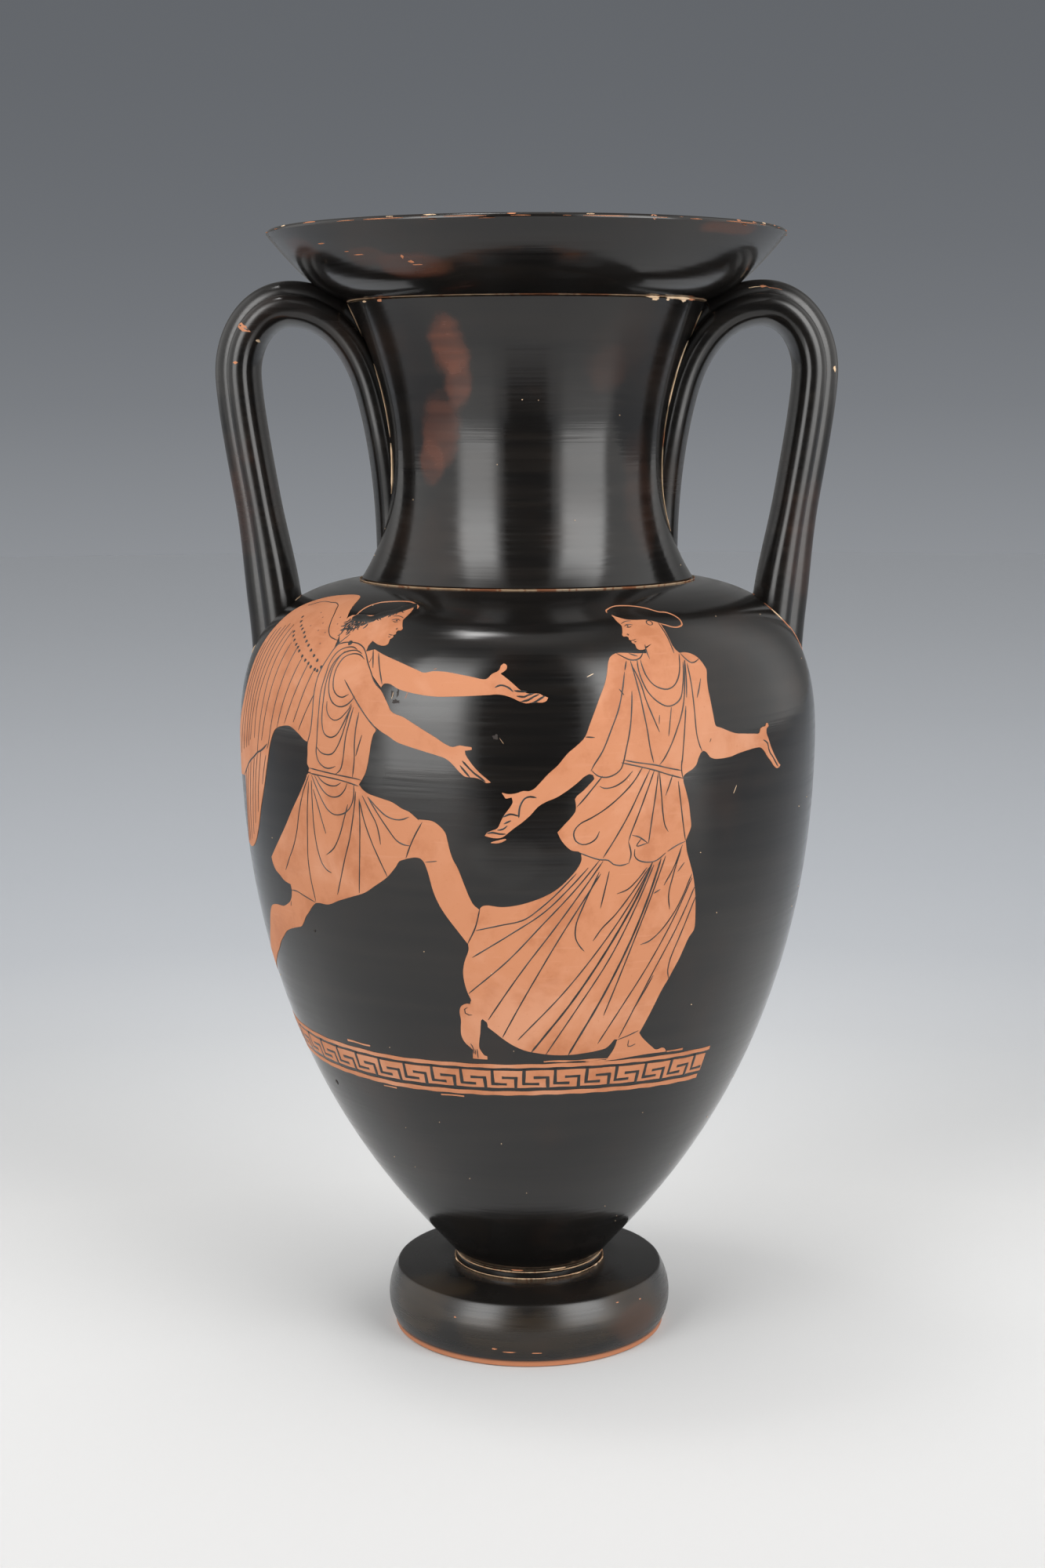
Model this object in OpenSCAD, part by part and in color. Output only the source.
// Neck-amphora with wide mouth, two ribbed handles and a disc foot.
// Seven thrown or pulled clay pieces, luted together at stepped seats.
// Units are millimetres. The origin is the centre of the resting face, +Z is up.

/* [Foot] */
// Height of the foot at its middle
foot_h = 20.8; // [17:0.1:26]
// Radius of the resting face
foot_base_r = 42.6; // [36:0.1:52]
// Radius of the sharp upper edge of the foot
foot_edge_r = 41.8; // [35:0.1:51]
// Drop of the upper edge below the middle of the foot
foot_edge_drop = 1.8; // [0.5:0.1:3]
// Control of how far the side of the foot swells beyond its edges
foot_swell = 3.2; // [1:0.1:5]
// Strength of the curves of the side of the foot
foot_side_pull = 5.5; // [3:0.1:7]
// Height of the plain band along the resting edge
foot_band_h = 2; // [1:0.1:4]
// Step of the side of the foot beyond the band
foot_band_step = 0.2; // [0.1:0.1:0.5]
// Width of the ring that the vessel stands on
foot_ring_w = 11; // [8:0.5:16]
// Inward slope of the wall of the hollow under the foot
foot_hollow_draft = 4; // [2:0.5:6]
// Depth of the hollow under the foot
foot_hollow_h = 8; // [5:0.5:9]

/* [Fillet between foot and body] */
// Height of the fillet ring
fillet_h = 1.8; // [1.2:0.1:3]
// Radius of the fillet ring
fillet_r = 23.2; // [20:0.1:28]

/* [Body] */
// Height of the body from the fillet to the neck
body_h = 214; // [178:1:257]
// Greatest radius of the body
body_r = 88.2; // [76:0.1:106]
// Drop of the greatest radius below the neck line
body_shoulder_h = 46.7; // [38:0.1:56]
// Radius of the lower end of the body
body_base_r = 22.6; // [19:0.1:27]
// Direction and strength of the curve leaving the lower end
body_base_pull = [12.7, 16.2];
// Strength of the curve below the greatest radius
body_belly_pull = 104; // [80:1:120]
// Strength of the curve above the greatest radius
body_shoulder_rise = 23.6; // [15:0.1:30]
// Outward reach and drop of the curve at the neck line
body_shoulder_pull = [30, 3];
// Thickness of the thrown wall of the body
body_wall = 5; // [4:0.1:7]
// Thickness of the floor inside the body
body_floor = 7; // [5:0.1:10]
// Width of the sloping edge round the floor
body_floor_round = 2; // [1:0.5:4]
// Radius of the stem that ties body and foot together
stem_r = 14; // [10:0.5:17]
// Depth of the socket for the stem in the foot
socket_h = 5; // [3:0.5:6]

/* [Neck] */
// Height of the neck
neck_h = 82.9; // [69:0.1:99]
// Radius of the neck where it meets the body
neck_base_r = 50.8; // [46:0.1:58]
// Smallest radius of the neck
neck_waist_r = 41.7; // [37:0.1:45]
// Height of the smallest radius above the neck line
neck_waist_h = 31.5; // [25:0.1:38]
// Radius of the neck under the mouth
neck_top_r = 54; // [50:0.1:60]
// Inward reach and rise of the curve leaving the neck line
neck_base_pull = [4, 6];
// Strength of the curve above the smallest radius
neck_waist_pull = 18.5; // [14:0.5:24]
// Inward reach and drop of the curve under the mouth
neck_top_pull = [7.5, 14.9];
// Thickness of the wall of the neck
neck_wall = 5; // [4:0.1:6]

/* [Mouth] */
// Height of the mouth
mouth_h = 20.5; // [17:0.1:25]
// Greatest radius of the mouth
mouth_r = 77.6; // [70:0.1:88]
// Outward reach and rise of the outer curve leaving the neck
mouth_base_pull = [8.5, 2.6];
// Inward reach and drop of the outer curve under the lip
mouth_lip_pull = [9, 12];
// Thickness of the lip
lip_t = 5.4; // [4:0.1:7]
// Outward reach and rise of the inner curve leaving the bore
mouth_bore_pull = [3, 6];
// Inward reach and drop of the inner curve under the lip
mouth_inner_pull = [8, 11];
// Radius of the rounding on the lip
lip_round = 1.2; // [0.6:0.1:2]

/* [Handles] */
// Distance of the highest point of a handle outside the top of the neck
handle_crest_out = 17; // [14:0.5:20]
// Distance of its widest point outside the top of the neck
handle_reach_out = 32.7; // [29:0.1:40]
// Height of the crest's centre line below the top of the neck
handle_crest_drop = 0.9; // [0:0.1:6]
// Depth of the widest point below the top of the neck
handle_reach_drop = 22.5; // [18:0.5:30]
// Distance of the lower root inside the greatest radius of the body
handle_root_in = 12.6; // [8:0.1:17]
// Depth of the lower root below the neck line
handle_root_drop = 24.6; // [20:0.1:30]
// Half the width of the handle, across its reeds
handle_half_w = 11.9; // [9:0.1:14]
// Radius of the central rib
rib_r = 5.6; // [4:0.1:7]
// Radius of the two side reeds
reed_r = 3.9; // [3:0.1:5]
// Thickness of the handle from inner face to rib
handle_t = 14; // [12:0.1:16]

/* [Seats] */
// Width of the outer ring that each piece rests on
seat_w = 2.6; // [2:0.1:3]
// Height of the spigot that drops into the piece below
spigot_h = 3; // [2:0.1:4]
// Clearance round a spigot or stem, filled with slip
lute_gap = 0.15; // [0.1:0.05:0.3]

/* [Hidden] */
$fn = 120;

black_gloss = "#1c1a1a";

// Heights of the seats above the resting face
fillet_z = foot_h;
body_z = fillet_z + fillet_h;
neck_z = body_z + body_h;
mouth_z = neck_z + neck_h;
top_z = mouth_z + mouth_h;
// Height of the greatest radius of the body
body_wide_z = neck_z - body_shoulder_h;

// Steps along each curve
curve_steps = 20;
lip_steps = 6;

// Point on a cubic curve with ends a and d and controls b and c
function bezier(a, b, c, d, t) =
    pow(1 - t, 3) * a + 3 * t * pow(1 - t, 2) * b
    + 3 * t * t * (1 - t) * c + t * t * t * d;
// Unit direction of the same curve
function bezier_along(a, b, c, d, t) =
    let (v = pow(1 - t, 2) * (b - a) + 2 * t * (1 - t) * (c - b) + t * t * (d - c))
    v / norm(v);
// The direction turned a quarter turn to the left
function left_of(v) = [-v[1], v[0]];
// Points of a curve k = [a, b, c, d], moved to its left by gap
function curve(k, gap = 0, first = 0) = [
    for (i = [first : curve_steps])
        let (t = i / curve_steps)
        bezier(k[0], k[1], k[2], k[3], t)
        + gap * left_of(bezier_along(k[0], k[1], k[2], k[3], t))
];
function reversed(list) = [for (i = [len(list) - 1 : -1 : 0]) list[i]];
function smooth_step(x) =
    let (s = min(1, max(0, x)))
    s * s * (3 - 2 * s);

// Outer outlines as [radius, height], from the bottom up
belly_curve = [
    [body_base_r, body_z],
    [body_base_r, body_z] + body_base_pull,
    [body_r, body_wide_z - body_belly_pull],
    [body_r, body_wide_z]
];
shoulder_curve = [
    [body_r, body_wide_z],
    [body_r, body_wide_z + body_shoulder_rise],
    [neck_base_r + body_shoulder_pull[0], neck_z - body_shoulder_pull[1]],
    [neck_base_r, neck_z]
];
neck_low_curve = [
    [neck_base_r, neck_z],
    [neck_base_r - neck_base_pull[0], neck_z + neck_base_pull[1]],
    [neck_waist_r, neck_z + neck_waist_h / 2],
    [neck_waist_r, neck_z + neck_waist_h]
];
neck_high_curve = [
    [neck_waist_r, neck_z + neck_waist_h],
    [neck_waist_r, neck_z + neck_waist_h + neck_waist_pull],
    [neck_top_r - neck_top_pull[0], mouth_z - neck_top_pull[1]],
    [neck_top_r, mouth_z]
];
mouth_curve = [
    [neck_top_r, mouth_z],
    [neck_top_r + mouth_base_pull[0], mouth_z + mouth_base_pull[1]],
    [mouth_r - mouth_lip_pull[0], top_z - mouth_lip_pull[1]],
    [mouth_r, top_z - lip_round]
];
foot_side_curve = [
    [foot_base_r + foot_band_step, foot_band_h],
    [foot_base_r + foot_swell, foot_band_h + foot_side_pull],
    [foot_edge_r + foot_swell, foot_h - foot_edge_drop - foot_side_pull],
    [foot_edge_r, foot_h - foot_edge_drop]
];

body_outline = concat(curve(belly_curve), curve(shoulder_curve, first = 1));
neck_outline = concat(curve(neck_low_curve), curve(neck_high_curve, first = 1));
mouth_outline = curve(mouth_curve);

// Seats: a spigot of the upper piece stands in an opening of the lower piece
neck_bore_r = neck_base_r - neck_wall;
neck_spigot_r = neck_base_r - seat_w;
mouth_bore_r = neck_top_r - neck_wall;
mouth_spigot_r = neck_top_r - seat_w;

// Solid of revolution from an outline that is closed along the axis
module filled(outline) {
    rotate_extrude()
        polygon(concat([[0, outline[0][1]]], outline, [[0, outline[len(outline) - 1][1]]]));
}

module foot() {
    hollow_r = foot_base_r - foot_ring_w;
    color(black_gloss)
    difference() {
        rotate_extrude()
            polygon(concat(
                [[hollow_r, 0], [foot_base_r, 0]],
                curve(foot_side_curve),
                [[fillet_r, foot_h], [0, foot_h], [0, foot_hollow_h]],
                [[hollow_r - foot_hollow_draft, foot_hollow_h]]
            ));
        translate([0, 0, foot_h - socket_h])
            cylinder(r = stem_r + lute_gap, h = socket_h + 1);
    }
}

module foot_fillet() {
    edge = fillet_h / 4;
    color(black_gloss)
    difference() {
        rotate_extrude()
            polygon([
                [0, fillet_z],
                [fillet_r - edge, fillet_z],
                [fillet_r, fillet_z + edge],
                [fillet_r, body_z - edge],
                [fillet_r - edge, body_z],
                [0, body_z]
            ]);
        translate([0, 0, fillet_z - 1])
            cylinder(r = stem_r + lute_gap, h = fillet_h + 2);
    }
}

module body() {
    floor_z = body_z + body_floor;
    inner = concat(
        curve(belly_curve, body_wall), curve(shoulder_curve, body_wall, first = 1)
    );
    inner_wall = [for (p = inner) if (p[1] > floor_z) p];
    opening_r = neck_spigot_r + lute_gap;
    ledge_z = inner_wall[len(inner_wall) - 1][1];
    stem_h = fillet_h + socket_h - lute_gap;
    color(black_gloss)
    rotate_extrude()
        polygon(concat(
            [[0, body_z - stem_h], [stem_r, body_z - stem_h], [stem_r, body_z]],
            body_outline,
            [[opening_r, neck_z], [opening_r, ledge_z]],
            reversed(inner_wall),
            [[inner_wall[0][0] - body_floor_round, floor_z], [0, floor_z]]
        ));
}

module neck() {
    inner = concat(
        curve(neck_low_curve, neck_wall), curve(neck_high_curve, neck_wall, first = 1)
    );
    inner_wall = [
        for (p = inner) if (p[1] > neck_z + 1 && p[1] < mouth_z - spigot_h - 1) p
    ];
    rebate_r = mouth_spigot_r + lute_gap;
    rebate_z = mouth_z - spigot_h - lute_gap;
    color(black_gloss)
    rotate_extrude()
        polygon(concat(
            [[neck_bore_r, neck_z - spigot_h], [neck_spigot_r, neck_z - spigot_h]],
            [[neck_spigot_r, neck_z]],
            neck_outline,
            [[rebate_r, mouth_z], [rebate_r, rebate_z], [mouth_bore_r, rebate_z]],
            reversed(inner_wall)
        ));
}

module mouth() {
    lip_inner_r = mouth_r - lip_t;
    inner_curve = [
        [mouth_bore_r, mouth_z],
        [mouth_bore_r + mouth_bore_pull[0], mouth_z + mouth_bore_pull[1]],
        [lip_inner_r - mouth_inner_pull[0], top_z - mouth_inner_pull[1]],
        [lip_inner_r, top_z - lip_round]
    ];
    outer_lip = [
        for (i = [1 : lip_steps])
            let (a = 90 * i / lip_steps)
            [mouth_r - lip_round * (1 - cos(a)), top_z - lip_round * (1 - sin(a))]
    ];
    inner_lip = [
        for (i = [0 : lip_steps - 1])
            let (a = 90 + 90 * i / lip_steps)
            [
                lip_inner_r + lip_round * (1 + cos(a)),
                top_z - lip_round * (1 - sin(a))
            ]
    ];
    color(black_gloss)
    rotate_extrude()
        polygon(concat(
            [[mouth_bore_r, mouth_z - spigot_h], [mouth_spigot_r, mouth_z - spigot_h]],
            [[mouth_spigot_r, mouth_z]],
            mouth_outline,
            outer_lip,
            inner_lip,
            reversed(curve(inner_curve))
        ));
}

// Cross-section of a handle: a central rib, two side reeds and a flat inner face.
// The first coordinate runs across the handle, the second away from the loop.
rib_out = 1.8;
reed_in = 0.9;
face_half_w = handle_half_w - 0.4;
face_depth = 4.6;
face_middle = rib_out + rib_r + face_depth - handle_t;
// Each shape is an ellipse, as [across, outward, half width, half depth]
shapes = [
    [0, rib_out, rib_r, rib_r],
    [handle_half_w - reed_r, -reed_in, reed_r, reed_r],
    [reed_r - handle_half_w, -reed_in, reed_r, reed_r],
    [0, face_middle, face_half_w, face_depth]
];
section_points = 40;
// How far a ray from the middle runs inside one of the ellipses
function ray_in(s, d) =
    let (
        dx = d[0] / s[2],
        dy = d[1] / s[3],
        cx = s[0] / s[2],
        cy = s[1] / s[3],
        a = dx * dx + dy * dy,
        b = dx * cx + dy * cy,
        c = cx * cx + cy * cy - 1,
        under = b * b - a * c
    )
    under < 0 ? 0 : (b + sqrt(under)) / a;
function section_point(angle) =
    let (d = [cos(angle), sin(angle)])
    d * max([for (s = shapes) ray_in(s, d)]);
handle_section = [
    for (i = [0 : section_points - 1]) section_point(360 * i / section_points)
];

// Centre line of a handle as [outward reach, height]: from its root on the shoulder
// up to its widest reach, over the crest and down the neck as a tapering tongue
root = [body_r - handle_root_in, neck_z - handle_root_drop];
reach = [neck_top_r + handle_reach_out, mouth_z - handle_reach_drop];
crest = [neck_top_r + handle_crest_out, mouth_z - handle_crest_drop];
tongue_top = [neck_top_r - 8.6, mouth_z - 25.8];
tongue_end = [neck_waist_r - 2.3, neck_z + 9.4];
handle_curves = [
    [root, root + [0.4, 26], reach - [1.2, 21], reach],
    [reach, reach + [0.6, 11], crest + [10, 0], crest],
    [crest, crest - [11.5, 0], tongue_top + [4.6, 16.3], tongue_top],
    [tongue_top, tongue_top - [4.2, 15.4], tongue_end + [0.2, 16], tongue_end]
];
ring_counts = [16, 12, 14, 14];
// How much wider and thicker the root is, and how much narrower the tongue's end
root_wider = 0.04;
root_thicker = 0.2;
tongue_narrower = 0.3;

// How far the buried end goes on, down and inwards, so that the body covers all of it
heel = [6, 12];

// One ring for each place along the centre line: [point, direction, across, thickness]
heel_ring = [
    root - heel,
    bezier_along(root, root + [0.4, 26], reach - [1.2, 21], reach, 0),
    1 + root_wider,
    1 + root_thicker
];
sweep_rings = [
    for (k = [0 : 3])
        let (c = handle_curves[k], n = ring_counts[k])
        for (i = [(k == 0 ? 0 : 1) : n])
            let (
                t = i / n,
                root_flare = k == 0 ? 1 - smooth_step((t - 0.2) / 0.35) : 0,
                taper = k == 3 ? smooth_step((t - 0.2) / 0.8) : 0
            )
            [
                bezier(c[0], c[1], c[2], c[3], t),
                bezier_along(c[0], c[1], c[2], c[3], t),
                1 + root_wider * root_flare - tongue_narrower * taper,
                1 + root_thicker * root_flare
            ]
];
rings = concat([heel_ring], sweep_rings);
function place(ring, p) =
    let (out = -left_of(ring[1]), q = ring[0] + out * p[1] * ring[3])
    [q[0], p[0] * ring[2], q[1]];

module handle_sweep() {
    n = section_points;
    last = len(rings) - 1;
    points = [for (r = rings) for (p = handle_section) place(r, p)];
    sides = [
        for (j = [0 : last - 1])
            for (i = [0 : n - 1])
                for (half = [0, 1])
                    let (
                        a = j * n + i,
                        b = j * n + (i + 1) % n,
                        c = a + n,
                        d = b + n
                    )
                    half == 0 ? [a, d, b] : [a, c, d]
    ];
    caps = [[for (i = [0 : n - 1]) i], [for (i = [n - 1 : -1 : 0]) last * n + i]];
    polyhedron(points, concat(sides, caps), convexity = 6);
}

// The handle ends where it meets the body, the neck and the underside of the mouth
module handle() {
    color(black_gloss)
    difference() {
        handle_sweep();
        filled(body_outline);
        filled(neck_outline);
        filled(mouth_outline);
    }
}

module handle_left() {
    mirror([1, 0, 0])
        handle();
}

module handle_right() {
    handle();
}

foot();
foot_fillet();
body();
neck();
mouth();
handle_left();
handle_right();
